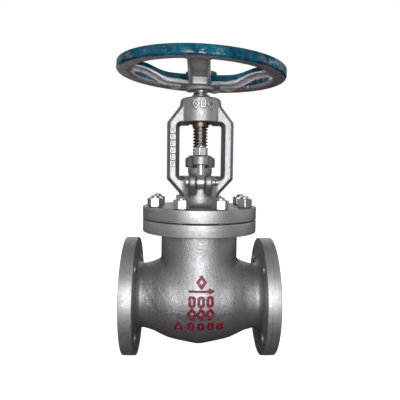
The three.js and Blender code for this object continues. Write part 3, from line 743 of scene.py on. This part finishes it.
def mark_paint():
    """Crimson paint brushed over the raised marks, worn thin in patches."""
    s = Shader("mark_paint")
    worn = s.range(s.noise(420, 5, 0.7), 0.54, 0.64)
    base = s.mix(s.range(s.noise(150, 4), 0.3, 0.7), (0.24, 0.004, 0.022), (0.10, 0.003, 0.012))
    base = s.mix(s.math("MULTIPLY", worn, 0.45), base, (0.36, 0.24, 0.27))
    rough = s.range(s.noise(200, 3), 0.3, 0.7, 0.34, 0.55)
    bump = s.bumps((s.noise(260, 3), 0.35), (s.noise(900, 4), 0.15))
    return s.set(Base_Color=base, Metallic=0.25, Roughness=rough, Normal=bump)


def wheel_paint():
    """Dark blue-green gloss, worn to bright metal in specks, with grey overspray on what faces down, its grey
    darkened in the hollows as painted shade.
    """
    s = Shader("wheel_paint")
    high = s.attribute("height")
    edge = s.math("ADD", high, s.range(s.noise(60, 3), 0.2, 0.8, -0.09, 0.09))
    grey = s.range(edge, 0.53, 0.47)
    speck = s.math("MULTIPLY", s.range(s.noise(230, 6, 0.75), 0.60, 0.66), s.range(s.noise(24, 2), 0.50, 0.62))
    brushed = s.noise(42, 4, 0.6)
    blue = s.mix(s.range(brushed, 0.32, 0.68), (0.002, 0.028, 0.055), (0.004, 0.095, 0.15))
    blue = s.mix(speck, blue, (0.50, 0.58, 0.60))
    silver = s.mix(s.range(s.noise(120, 4), 0.3, 0.7), (0.36, 0.36, 0.365), (0.50, 0.50, 0.505))
    # Painted shade: the grey darkens in the wheel's hollows.
    silver = s.mix(s.math("MULTIPLY", s.attribute("hollow"), 0.35), silver, (0.10, 0.10, 0.102))
    base = s.mix(grey, blue, silver)
    shine = s.math("MAXIMUM", grey, speck)
    rough = s.math("ADD", s.range(brushed, 0.3, 0.7, 0.20, 0.30), s.math("MULTIPLY", grey, 0.25))
    dull = s.math("SUBTRACT", 1.0, s.math("MULTIPLY", grey, 0.85))
    gloss = s.math("MULTIPLY", s.range(s.noise(75, 3, 0.6), 0.45, 0.60, 0.04, 0.6), dull)
    bump = s.bumps((s.noise(70, 3), 0.7), (s.noise(500, 4, 0.6), 0.16))
    metallic = s.math("SUBTRACT", s.math("MULTIPLY", shine, 0.7), s.math("MULTIPLY", grey, 0.2))
    return s.set(Base_Color=base, Metallic=metallic, Roughness=rough, Specular_IOR_Level=gloss, Normal=bump)


def plain_steel(name, light, dark, rough, lines=None, stain=(0.16, 0.12, 0.09), painted_above=None):
    """Machined steel with an oily, slightly stained skin. lines is the axis that turning marks step along, and
    painted_above a height in millimetres above which paint has been sprayed on."""
    s = Shader(name)
    stained = s.range(s.noise(110, 4, 0.6), 0.60, 0.76)
    base = s.mix(s.range(s.noise(420, 4, 0.6), 0.3, 0.7), dark, light)
    base = s.mix(s.math("MULTIPLY", stained, 0.6), base, stain)
    layers = [(s.noise(150, 2), 0.10), (s.noise(1400, 3), 0.012)]
    if lines is not None:
        scale = [8.0, 8.0, 8.0]
        scale[lines] = 2200.0
        layers.append((s.noise(1, 2, 0.5, s.stretched(*scale)), 0.05))
    roughness = s.math("ADD", s.range(s.noise(330, 4), 0.3, 0.7, *rough), s.math("MULTIPLY", stained, 0.15))
    if painted_above is not None:
        paint = s.range(s.axis(2), (painted_above - 3) * MM, painted_above * MM)
        base = s.mix(paint, base, s.mix(s.noise(300, 4), (0.13, 0.13, 0.13), (0.30, 0.30, 0.30)))
    return s.set(Base_Color=base, Metallic=0.95, Roughness=roughness, Normal=s.bumps(*layers))


def serrated_face():
    """A bare flange face, turned in fine rings about the pipe."""
    s = Shader("serrated_face")
    y, z = s.axis(1), s.axis(2)
    radius = s.math("SQRT", s.math("ADD", s.math("MULTIPLY", y, y), s.math("MULTIPLY", z, z)))
    ring_pitch = 0.8 * MM
    rings = s.math("SINE", s.math("MULTIPLY", radius, 2 * math.pi / ring_pitch))
    rust = s.range(s.noise(60, 6, 0.7), 0.58, 0.72)
    base = s.mix(s.range(s.noise(200, 4), 0.3, 0.7), (0.36, 0.355, 0.35), (0.50, 0.495, 0.49))
    base = s.mix(s.math("MULTIPLY", rust, 0.3), base, (0.22, 0.17, 0.13))
    rough = s.math("ADD", s.range(s.noise(300, 3), 0.3, 0.7, 0.24, 0.36), s.math("MULTIPLY", rust, 0.25))
    bump = s.bumps((rings, 0.03), (s.noise(900, 3), 0.04))
    return s.set(Base_Color=base, Metallic=0.95, Roughness=rough, Normal=bump)


def graphite():
    """Pressed graphite, matte with a faint grey sheen."""
    s = Shader("pressed_graphite")
    weave = s.noise(900, 4, 0.6)
    base = s.mix(s.range(weave, 0.3, 0.7), (0.025, 0.025, 0.027), (0.07, 0.07, 0.073))
    bump = s.bumps((weave, 0.12), (s.noise(200, 3), 0.25))
    rough = s.range(s.noise(400, 3), 0.3, 0.7, 0.42, 0.62)
    return s.set(Base_Color=base, Metallic=0.25, Roughness=rough, Normal=bump)


CAST = cast_paint()
TURNED_Z = turned_paint("turned_paint_z", 2)
TURNED_X = turned_paint("turned_paint_x", 0)
MARKS = mark_paint()
WHEEL = wheel_paint()
STEEL = plain_steel("fastener_steel", (0.52, 0.52, 0.53), (0.38, 0.38, 0.39), (0.30, 0.44))
RUBBED = plain_steel("rubbed_paint", (0.64, 0.64, 0.65), (0.50, 0.50, 0.51), (0.38, 0.5))
# Near-black steel for the skirts round the raised marks: painted shadow.
SHADED = plain_steel("painted_shadow_round_marks", (0.14, 0.14, 0.145), (0.07, 0.07, 0.072), (0.5, 0.6))
STEM_STEEL = plain_steel(
    "stem_steel", (0.17, 0.148, 0.13), (0.075, 0.064, 0.056), (0.28, 0.44), 2, (0.03, 0.022, 0.016), 326)
TRIM = plain_steel("trim_steel", (0.62, 0.62, 0.62), (0.50, 0.50, 0.51), (0.16, 0.28), 2, (0.36, 0.34, 0.31))
BRONZE = plain_steel(
    "yoke_nut_bronze", (0.30, 0.215, 0.145), (0.17, 0.12, 0.08), (0.32, 0.46), 2, (0.08, 0.055, 0.038), 320)
FACE_STEEL = serrated_face()
GRAPHITE = graphite()

# Body

single("body_casting", "valve_body", sculpted(body_casting, (-122, -93, -80), (122, 93, 128), 1.9),
       CAST, "body", 60)

FLANGE_PROFILE = [
    (BORE, FACE - 0.6, 0), (BORE, 101, 0), (BORE + 1, 99.7, 0), (52, FLANGE_BACK), (FLANGE_RADIUS, FLANGE_BACK),
    (FLANGE_RADIUS, FLANGE_FRONT), (RAISED_RADIUS, FLANGE_FRONT, 0), (RAISED_RADIUS, FACE - 0.9, 0),
    (BORE + 0.6, FACE - 0.9, 0),
]
BOLT_CUTTER = lathe(
    [(0, 96), (9.5, 96), (9.5, FLANGE_FRONT - 0.6), (10.1, FLANGE_FRONT), (10.1, 124), (0, 124)], 48)
BOLT_CUTTERS = [
    moved(BOLT_CUTTER, 0, y * BOLT_OFFSET, z * BOLT_OFFSET, along_x=True) for y in (-1, 1) for z in (-1, 1)
]
OUTLET_FLANGE = drilled(moved(ring(FLANGE_PROFILE, 1.0, 144), along_x=True), BOLT_CUTTERS)
FACE_PROFILE = [
    (BORE, FACE - 1.1, 0), (RAISED_RADIUS, FACE - 1.1, 0), (RAISED_RADIUS, FACE), (BORE, FACE)]
OUTLET_FACE = moved(ring(FACE_PROFILE, 0.5, 144), along_x=True)
ENDS = [("inlet", mirrored(OUTLET_FLANGE), mirrored(OUTLET_FACE)), ("outlet", OUTLET_FLANGE, OUTLET_FACE)]
for end, flange, face in ENDS:
    single(f"{end}_flange", "valve_body", flange, TURNED_X, "body")
    single(f"{end}_raised_face", "valve_body", face, FACE_STEEL, "body")

BODY_FLANGE = [(51, 127.0), (51, 109), (60, 107.6, 0), (COVER_RADIUS, 107.6), (COVER_RADIUS, 127.0)]
single("body_cover_flange", "valve_body", ring(BODY_FLANGE, 1.2, 160), TURNED_Z, "body")
single("body_marks", "valve_body", sculpted(belly_marks, (-44, -84, -46), (44, -60, 50), 0.55, 3),
       MARKS, "body", 60)
SEAT = [(38, -6), (42, -6), (42, 6.3), (46, 6.3), (46, 12), (40, 12), (38, 10.5)]
single("seat_ring_turned", "valve_body", ring(SEAT, 0.5, 96), TRIM, "seat_ring")
single("gasket_ring", "valve_body", ring(band(52, 66, 127.3, 128.3), 0.3, 96),
       GRAPHITE, "bonnet_gasket")

# Bonnet and yoke

single("bonnet_casting", "valve_body", sculpted(bonnet_casting, (-61, -61, 128), (61, 61, 323), 0.95),
       CAST, "bonnet", 60)
BONNET_FLANGE = [(48, 128.6, 0), (COVER_RADIUS, 128.6), (COVER_RADIUS, 148.2), (84, 148.2, 0), (48, 148.2, 0)]
STUD_HOLE = lathe([(0, 120), (7.6, 120), (7.6, 155), (0, 155)], 40)
STUD_PLACES = [(STUD_RING * math.cos(a), STUD_RING * math.sin(a)) for a in STUD_ANGLES]
single("bonnet_flange", "valve_body",
       drilled(ring(BONNET_FLANGE, 1.2, 160), [moved(STUD_HOLE, *place) for place in STUD_PLACES]),
       TURNED_Z, "bonnet")
SPIGOT = [
    (16.7, 140.3), (16.7, 122), (24, 122), (28, 133, 3), (42, 133, 3), (46, 122), (50.5, 122), (50.5, 129),
    (50.5, 135, 0), (14, 145, 0), (14, 140.3),
]
single("bonnet_spigot", "valve_body", ring(SPIGOT, 0.8, 96), CAST, "bonnet")
MARK_BOXES = [(boss_marks, boss_marks_shadow, (-18, -35, 297), (26, -20, 320)),
              (arm_marks, arm_marks_shadow, (-50, -19, 208), (-38, -15, 276))]
# The raised marks, and dark skirts round them as painted shadow.
make("bonnet_marks", "valve_body",
     [(sculpted(field, low, high, 0.5, 3), 0) for field, _, low, high in MARK_BOXES]
     + [(sculpted(shadow_skirt, low, high, 0.5, 3), 1) for _, shadow_skirt, low, high in MARK_BOXES],
     [RUBBED, SHADED], ["bonnet"], 60)

STUD_CORE = eased([(0, 110, 0), (6.6, 110), (6.6, 160, 0), (6.3, 161, 0), (6.3, 166.2, 2.4), (0, 167, 0)], 0.6)
STUD = [thread(6.9, 6.1, 2, 158, 164.6, 32, tip=1.0), lathe(STUD_CORE, 32)]
NUT_TURNS = [math.radians(angle) for angle in (20, 47, 5, 33, 30, 40, 31, 57)]
for number, (angle, place, nut_turn) in enumerate(zip(STUD_ANGLES, STUD_PLACES, NUT_TURNS), 1):
    make(f"stud_{number}", "valve_body", [(moved(mesh, *place, turn=angle * 5), 0) for mesh in STUD],
         [STEEL], [f"bonnet_stud_{number}"])
    single(f"nut_{number}", "valve_body", moved(hexagon(22, 148.5, 162.5, 7.1), *place, turn=nut_turn),
           STEEL, f"bonnet_nut_{number}", 30)
single("backseat_ring", "valve_body", ring(band(GUIDE_RADIUS, 16.7, 122, 140), 0.5, 64),
       TRIM, "backseat_bush")
for number in range(1, PACKING_COUNT + 1):
    low = PACKING_BOTTOM + PACKING_PITCH * (number - 1)
    packing = single(f"packing_{number}", "valve_body",
                     ring(band(GUIDE_RADIUS, 18.7, low, low + PACKING_PITCH - 0.3), 1.2, 64),
                     GRAPHITE, f"packing_ring_{number}")
    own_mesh(packing)

# Gland and its eyebolts

single("gland_flange_casting", "gland", sculpted(gland_field, (-27, -55, 208), (27, 55, 232), 0.7),
       CAST, "gland_flange", 60)
BUSH = [(12.6, 192.1), (18.6, 192.1), (18.6, 201), (19.5, 201), (19.5, 209.7), (12.6, 209.7)]
single("gland_sleeve", "gland", ring(BUSH, 0.6, 64), TURNED_Z, "gland_bush")


def split_pin(x, y, z, flip):
    """A split pin through a pin's end: a looped head and two bent legs."""
    head = 6.5 * flip
    loop = [
        (x, head + flip * 2.2 * (1 - math.cos(a)), z + 2.0 * math.sin(a)) for a in np.linspace(0.3, 5.98, 16)
    ]
    first = [(x, -7.5 * flip, z + 3.5), (x, -6.4 * flip, z + 0.9), (x, 0, z + 0.5), (x, 6.0 * flip, z + 0.5)]
    second = [(x, 6.0 * flip, z - 0.5), (x, 0, z - 0.5), (x, -6.4 * flip, z - 0.9), (x, -8.0 * flip, z - 3.0)]
    return [(px, y + py, pz) for px, py, pz in first + loop + second]


EYE = sculpted(eyebolt_field, (-9, -14, 173), (9, 14, 224), 0.6)
SHANK = thread(6.0, 5.2, 1.75, 220, 243.8, 36, tip=1.0)
SHANK_CORE = lathe(
    eased([(0, 219, 0), (5.8, 219, 0), (5.8, 221.5, 0), (5.1, 223, 0), (5.1, 244.4), (0, 245, 0)], 0.6), 36)
HINGE_PIN = lathe(
    eased([(0, -22.8, 0), (7.5, -22.8), (7.5, -18.4), (5, -18.2, 0), (5, 26.7), (0, 26.7, 0)], 1.0), 48)
for place, side, nut_turn in (("front", -1, -0.26), ("back", 1, 0.35)):
    y = EYEBOLT_OFFSET * side
    make(f"swing_bolt_{place}", "valve_body", [(moved(mesh, 0, y), 0) for mesh in (EYE, SHANK, SHANK_CORE)],
         [STEEL], [f"eyebolt_{place}"], 50)
    wire = tube(split_pin(22.7, y, PIN_HEIGHT, side), 0.75)
    make(f"hinge_pin_{place}", "valve_body", [(moved(HINGE_PIN, 0, y, PIN_HEIGHT, along_x=True), 0), (wire, 0)],
         [STEEL], [f"eyebolt_pin_{place}"])
    single(f"gland_nut_{place}_hex", f"gland_nut_{place}",
           moved(hexagon(19, 228.3, 240.8, 6.2), 0, y, turn=nut_turn),
           STEEL, f"eyebolt_nut_{place}", 30)

# Yoke nut

YOKE_NUT = [
    (12.4, 275), (12.9, 275), (14, 281), (14, 286), (18, 286), (18, BOSS_TOP), (14.4, BOSS_TOP), (14.4, 326),
    (12.4, 326),
]
single("yoke_nut_turned", "valve_body", ring(YOKE_NUT, 0.7, 72), BRONZE, "yoke_nut")
SCREW = lathe(eased([(0, 17.9, 0), (4, 17.9), (4, 25), (2.2, 25, 0), (2.2, 22.5, 0), (0, 22.5, 0)], 0.6), 36)
SCREW_ALONG_Y = (SCREW[0][:, [1, 2, 0]] + np.array([0, 0, SCREW_HEIGHT]), SCREW[1])
single("yoke_nut_grub_screw", "valve_body", SCREW_ALONG_Y, STEM_STEEL, "yoke_nut_screw")

# Disc

DISC = eased(
    [(0, 8, 0), (36.5, 8), (36.5, 12), (37.8, 12.3, 0), (44, 12.3), (44, 24), (26, 30, 3), (26, 44), (20, 44, 0),
     (20, 22, 0), (0, 22, 0)], 0.8)
single("disc_turned", "disc", lathe(DISC, 96), TRIM, "disc")
DISC_NUT = lathe(band(GUIDE_RADIUS, 19.7, 32, 45), 64, closed=True)
make("disc_nut_hex", "disc", [(hexagon(44, 44.3, 52.3, GUIDE_RADIUS), 0), (DISC_NUT, 0)],
     [TRIM], ["disc_nut"], 30)

# Stem


def square_end(angle, radius, height):
    """Turns the round end square, with its corners turned off."""
    off = (angle + math.pi / 4) % (math.pi / 2) - math.pi / 4
    return np.where(radius > 8, np.minimum(8.5 / np.cos(off), 11.4), radius), height


THREAD_ROOT = 9.4
SHAFT = eased(
    [(0, 22.3, 0), (16, 22.3), (16, 31.7), (STEM_RADIUS, 31.7), (STEM_RADIUS, 84.7), (15.5, 88.2), (15.5, 93.7),
     (STEM_RADIUS, 96.7), (STEM_RADIUS, 227.5), (11, 229), (THREAD_ROOT, 229.5, 0), (THREAD_ROOT, 333, 0),
     (0, 333, 0)], 0.6)
COLLAR = eased([(0, 331, 0), (STEM_RADIUS, 331), (STEM_RADIUS, 333.5), (0, 333.5, 0)], 0.4)
STEM = [
    lathe(SHAFT, 96),
    thread(STEM_RADIUS, THREAD_ROOT, STEM_PITCH, 228.4, 331.6, 72),
    lathe(COLLAR, 72),
    lathe([(0, 333), (8.5, 333), (8.5, 361), (0, 361)], 96, shape=square_end),
    lathe(eased([(0, 358, 0), (7.1, 358, 0), (7.1, 381.4), (0, 382, 0)], 0.8), 48),
    thread(8, 7.1, 2, 361, 381.4, 40, tip=0.9),
]
make("stem_turned", "stem", [(mesh, 0) for mesh in STEM], [STEM_STEEL], ["stem"], 30)

# Handwheel

WHEEL_MESH = sculpted(handwheel_field, (-138, -138, 331), (138, 138, 378), 1.45)


def blue_height(points):
    """How far up each point lies on its part of the wheel: blue above 0.5, grey below."""
    x, z = in_wheel(points[:, 0], points[:, 2])
    radius = np.hypot(x, points[:, 1])
    out, side = spoke_place(x, points[:, 1])
    top, bottom = along(SPOKE_TOP_TABLE, out)[0], along(SPOKE_BOTTOM_TABLE, out)[0]
    spoke = 0.12 + (z - bottom) / (top - bottom)
    in_channel = (np.abs(side) < SPOKE_HALF_WIDTH - 2.5) & (z < top - 2)
    spoke = np.where(in_channel, 0, spoke)
    rim = 0.5 + (z - 357.6) / 8 + (radius - RIM_RADIUS) / 25
    hub = 0.2 + (points[:, 2] - 345) / 30
    return np.where(radius > 113, rim, np.where(radius < 27, hub, spoke))


handwheel = single("handwheel_casting", "stem", WHEEL_MESH, WHEEL, "handwheel", 60)
height = blue_height(WHEEL_MESH[0]).astype(np.float32)
handwheel.data.attributes.new("height", "FLOAT", "POINT").data.foreach_set("value", height)
single("wheel_washer_ring", "stem", ring(band(8.5, 15, 362.3, 364.8), 0.5, 64),
       STEEL, "wheel_washer")
single("wheel_nut_hex", "stem", hexagon(24, 365.1, 378.1, 8.2), STEEL, "wheel_nut", 30)

# Studio

FLOOR_GAP = 0.0003  # metres below the valve
FLOOR_SIZE = 24.0


def plane(name, size, z, material):
    data = bpy.data.meshes.new(name)
    h = size / 2
    data.from_pydata([(-h, -h, z), (h, -h, z), (h, h, z), (-h, h, z)], [], [(0, 1, 2, 3)])
    data.materials.append(material)
    item = bpy.data.objects.new(name, data)
    bpy.context.scene.collection.objects.link(item)
    return item


def seen_and_felt(tree, seen, felt, output):
    """Shows one shader to the camera and lets another light the pieces."""
    path, mix = tree.nodes.new("ShaderNodeLightPath"), tree.nodes.new("ShaderNodeMixShader")
    tree.links.new(path.outputs["Is Camera Ray"], mix.inputs[0])
    tree.links.new(felt.outputs[0], mix.inputs[1])
    tree.links.new(seen.outputs[0], mix.inputs[2])
    tree.links.new(mix.outputs[0], output.inputs["Surface"])


floor = Shader("floor")
floor.set(Base_Color=(0.85, 0.85, 0.85, 1), Roughness=0.6, Emission_Color=(1, 1, 1, 1), Emission_Strength=0.78)
dark_floor = floor.new("ShaderNodeBsdfDiffuse")
dark_floor.inputs["Color"].default_value = (0.085, 0.03, 0.042, 1)
seen_and_felt(floor.tree, floor.surface, dark_floor, floor.tree.nodes["Material Output"])
plane("floor", FLOOR_SIZE, CAD_BOX[0][2] - FLOOR_GAP, floor.material)

world = bpy.data.worlds.new("studio")
world.use_nodes = True
backdrop = world.node_tree.nodes["Background"]
surroundings = world.node_tree.nodes.new("ShaderNodeBackground")
for background, strength in ((backdrop, 1.0), (surroundings, 0.33)):
    background.inputs["Color"].default_value = (1, 1, 1, 1)
    background.inputs["Strength"].default_value = strength
seen_and_felt(world.node_tree, backdrop, surroundings, world.node_tree.nodes["World Output"])
bpy.context.scene.world = world
bpy.context.scene.view_settings.view_transform = "Standard"

# Each light has a name, a place, what it points at, its width and height in metres, and its watts.
LIGHTS = [
    ("front_light", (-0.02, -1.15, 0.24), (0, 0, 0.12), 0.85, 0.62, 14.5),
    ("top_light", (0.0, -0.3, 1.7), (0, 0, 0.1), 1.2, 1.2, 0.1),
    ("low_light", (-0.55, 1.35, 0.1), (-0.1, 0, 0.36), 0.7, 0.4, 0.8),
    ("right_light", (1.5, 0.1, 0.5), (0, 0, 0.15), 1.0, 0.9, 3.6),
    ("left_light", (-1.5, 0.1, 0.5), (0, 0, 0.15), 1.0, 0.9, 2.0),
    ("back_light", (0.1, 1.6, 0.8), (0, 0, 0.15), 1.4, 0.9, 9.0),
]
LIGHT_COLOUR = (0.95, 0.98, 1.0)
for name, location, target, width, height, watts in LIGHTS:
    data = bpy.data.lights.new(name, "AREA")
    data.shape, data.size, data.size_y, data.energy = "RECTANGLE", width, height, watts
    data.color = LIGHT_COLOUR
    lamp = bpy.data.objects.new(name, data)
    lamp.location = location
    lamp.visible_camera = False
    lamp.rotation_euler = (Vector(target) - Vector(location)).to_track_quat("-Z", "Y").to_euler()
    bpy.context.scene.collection.objects.link(lamp)

# The camera that was fitted to the photograph.
FOCAL_LENGTH, SENSOR_WIDTH = 39.12, 36
CAMERA_PLACE = (-0.0206, -0.7102, 0.2043)
CAMERA_AHEAD = Vector((0.0299, 0.9974, -0.0657)).normalized()
CAMERA_ROLL = math.radians(0.716)

camera_data = bpy.data.cameras.new("camera")
camera_data.lens, camera_data.sensor_width = FOCAL_LENGTH, SENSOR_WIDTH
camera_data.clip_start, camera_data.clip_end = 0.02, 60
camera = bpy.data.objects.new("camera", camera_data)
level = CAMERA_AHEAD.cross(Vector((0, 0, 1))).normalized()
upright = level.cross(CAMERA_AHEAD)
right = level * math.cos(CAMERA_ROLL) + upright * math.sin(CAMERA_ROLL)
up = upright * math.cos(CAMERA_ROLL) - level * math.sin(CAMERA_ROLL)
turned = Matrix((right, up, -CAMERA_AHEAD)).transposed().to_4x4()
camera.matrix_world = Matrix.Translation(CAMERA_PLACE) @ turned
bpy.context.scene.collection.objects.link(camera)
bpy.context.scene.camera = camera
